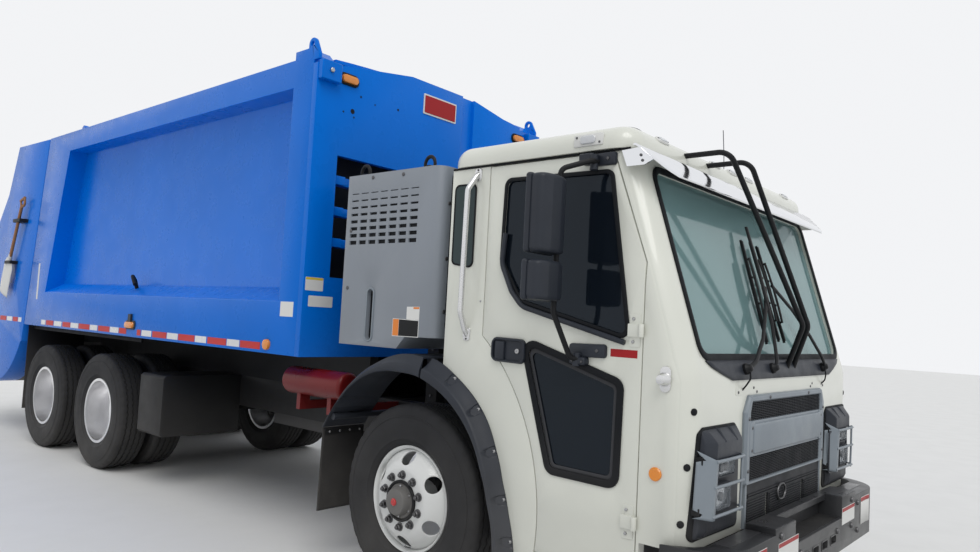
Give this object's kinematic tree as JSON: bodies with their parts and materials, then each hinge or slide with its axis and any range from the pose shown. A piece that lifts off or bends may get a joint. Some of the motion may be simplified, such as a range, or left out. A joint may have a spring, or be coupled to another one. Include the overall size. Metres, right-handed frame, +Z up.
{
  "type": "rear-loading garbage truck",
  "caption": "Three-axle garbage truck with a low forward-control cab, a louvred cooling box, a smooth-sided refuse body and a lifting tailgate with a sweep-and-slide packer.",
  "frame": {"origin": "on the ground under the middle of the truck's length and width", "axes": "+X forwards to the cab, +Y to the truck's left, +Z up"},
  "size_m": [10.06, 3.08, 3.4847],
  "materials": {
    "frame_black": "satin",
    "motor_casing": "cast",
    "box_grey": "satin metallic",
    "bumper_black": "satin",
    "tank_red": "gloss",
    "moulded_black": "grained",
    "flap_rubber": "matte",
    "body_blue": "gloss",
    "cab_white": "gloss",
    "window_glass": "clear, lightly tinted",
    "visor_chrome": "polished",
    "grille_grey": "satin",
    "interior_dark": "grained",
    "seat_fabric": "woven",
    "handle_alloy": "brushed",
    "lamp_amber": "clear",
    "packer_steel": "worn",
    "cylinder_black": "satin",
    "rod_chrome": "polished",
    "tyre_rubber": "matte",
    "wheel_white": "gloss",
    "wheel_alloy": "polished"
  },
  "bodies": {
    "chassis": {"frame_rails": "frame_black", "front_bumper": "bumper_black", "front_axle": "frame_black", "rear_axles": "frame_black", "drive_motor": "motor_casing", "battery_boxes": "box_grey", "red_tank": "tank_red", "cooling_box": "box_grey", "front_mudguards": "moulded_black", "rear_mudguards": "flap_rubber", "body_floor": "body_blue", "body_sides": "body_blue", "body_roof": "body_blue", "body_front": "body_blue"},
    "cab": {"cab_shell": "cab_white", "cab_front": "cab_white", "cab_floor": "cab_white", "cab_roof": "cab_white", "cab_glass": "window_glass", "sun_visor": "visor_chrome", "grille": "grille_grey", "headlamps": "grille_grey", "dashboard": "interior_dark", "seats": "seat_fabric", "steering_wheel": "interior_dark", "cab_flares": "moulded_black", "guard_tubes": "moulded_black", "grab_handles": "handle_alloy", "roof_lamps": "lamp_amber"},
    "right_door": {"door_right": "cab_white", "door_glass_right": "window_glass", "mirrors_right": "moulded_black"},
    "right_knuckle": {"steering_knuckle_right": "frame_black"},
    "front_right_wheel": {"tyre_front_right": "tyre_rubber", "wheel_front_right": "wheel_white"},
    "first_drive_right_wheels": {"tyres_first_right": "tyre_rubber", "wheels_first_right": "wheel_alloy"},
    "second_drive_right_wheels": {"tyres_second_right": "tyre_rubber", "wheels_second_right": "wheel_alloy"},
    "left_door": {"door_left": "cab_white", "door_glass_left": "window_glass", "mirrors_left": "moulded_black"},
    "left_knuckle": {"steering_knuckle_left": "frame_black"},
    "front_left_wheel": {"tyre_front_left": "tyre_rubber", "wheel_front_left": "wheel_white"},
    "first_drive_left_wheels": {"tyres_first_left": "tyre_rubber", "wheels_first_left": "wheel_alloy"},
    "second_drive_left_wheels": {"tyres_second_left": "tyre_rubber", "wheels_second_left": "wheel_alloy"},
    "ejector": {"ejector_blade": "packer_steel"},
    "tailgate": {"tailgate_sides": "body_blue", "tailgate_top": "body_blue", "hopper_pan": "packer_steel"},
    "slide": {"packer_slide": "packer_steel"},
    "sweep": {"sweep_blade": "packer_steel"},
    "lift_barrel_pair": {"lift_barrels": "cylinder_black"},
    "lift_rod_pair": {"lift_rods": "rod_chrome"},
    "sweep_barrel_pair": {"sweep_barrels": "cylinder_black"},
    "sweep_rod_pair": {"sweep_rods": "rod_chrome"}
  },
  "joints": [
    {"name": "cab_tilt", "type": "hinge", "parent": "chassis", "child": "cab", "pos_m": [4.795, 0, 0.7], "axis": [0, 1, 0], "range_deg": [0, 45]},
    {"name": "door_right_swing", "type": "hinge", "parent": "cab", "child": "right_door", "pos_m": [4.595, -1.186, 1.2], "axis": [0, 0, 1], "range_deg": [0, 70]},
    {"name": "door_left_swing", "type": "hinge", "parent": "cab", "child": "left_door", "pos_m": [4.595, 1.186, 1.2], "axis": [0, 0, -1], "range_deg": [0, 70]},
    {"name": "steer_right", "type": "hinge", "parent": "chassis", "child": "right_knuckle", "pos_m": [3.165, -0.95, 0.532], "axis": [0, 0, 1], "range_deg": [-38, 38]},
    {"name": "steer_left", "type": "hinge", "parent": "chassis", "child": "left_knuckle", "pos_m": [3.165, 0.95, 0.532], "axis": [0, 0, 1], "range_deg": [-38, 38]},
    {"name": "front_right_wheel_spin", "type": "hinge", "parent": "right_knuckle", "child": "front_right_wheel", "pos_m": [3.165, -1.065, 0.532], "axis": [0, 1, 0], "continuous": true},
    {"name": "front_left_wheel_spin", "type": "hinge", "parent": "left_knuckle", "child": "front_left_wheel", "pos_m": [3.165, 1.065, 0.532], "axis": [0, 1, 0], "continuous": true},
    {"name": "first_drive_right_wheels_spin", "type": "hinge", "parent": "chassis", "child": "first_drive_right_wheels", "pos_m": [-1.089, -0.88, 0.532], "axis": [0, 1, 0], "continuous": true},
    {"name": "first_drive_left_wheels_spin", "type": "hinge", "parent": "chassis", "child": "first_drive_left_wheels", "pos_m": [-1.089, 0.88, 0.532], "axis": [0, 1, 0], "continuous": true},
    {"name": "second_drive_right_wheels_spin", "type": "hinge", "parent": "chassis", "child": "second_drive_right_wheels", "pos_m": [-2.462, -0.88, 0.532], "axis": [0, 1, 0], "continuous": true},
    {"name": "second_drive_left_wheels_spin", "type": "hinge", "parent": "chassis", "child": "second_drive_left_wheels", "pos_m": [-2.462, 0.88, 0.532], "axis": [0, 1, 0], "continuous": true},
    {"name": "ejector_push", "type": "slide", "parent": "chassis", "child": "ejector", "axis": [-1, 0, 0], "range_m": [0, 3.95]},
    {"name": "tailgate_lift", "type": "hinge", "parent": "chassis", "child": "tailgate", "pos_m": [-2.525, 0, 3.435], "axis": [0, 1, 0], "range_deg": [0, 80]},
    {"name": "packer_travel", "type": "slide", "parent": "tailgate", "child": "slide", "axis": [-0.5, 0, -0.866], "range_m": [0, 0.8]},
    {"name": "sweep_swing", "type": "hinge", "parent": "slide", "child": "sweep", "pos_m": [-3.615, 0, 2.213], "axis": [0, 1, 0], "range_deg": [0, 115]},
    {"name": "lift_barrel_swing", "type": "hinge", "parent": "chassis", "child": "lift_barrel_pair", "pos_m": [-2.785, 0, 1.6], "axis": [0, 1, 0], "range_deg": [-3, 0.5]},
    {"name": "lift_rod_slide", "type": "slide", "parent": "lift_barrel_pair", "child": "lift_rod_pair", "axis": [-0.1146, 0, 0.9934], "range_m": [0, 0.87]},
    {"name": "sweep_barrel_swing", "type": "hinge", "parent": "slide", "child": "sweep_barrel_pair", "pos_m": [-3.36321, 0, 3.04912], "axis": [0, 1, 0], "range_deg": [-0.5, 4.5]},
    {"name": "sweep_rod_slide", "type": "slide", "parent": "sweep_barrel_pair", "child": "sweep_rod_pair", "axis": [-0.408, 0, -0.913], "range_m": [-0.425, 0]}
  ],
  "couplings": [
    {"joint": "steer_left", "follows": "steer_right", "ratio": 1},
    {"joint": "lift_barrel_swing", "follows": "tailgate_lift", "ratio": -0.02964},
    {"joint": "lift_rod_slide", "follows": "tailgate_lift", "m_per_rad": 0.61859},
    {"joint": "sweep_barrel_swing", "follows": "sweep_swing", "ratio": 0.03367},
    {"joint": "sweep_rod_slide", "follows": "sweep_swing", "m_per_rad": -0.20879}
  ]
}
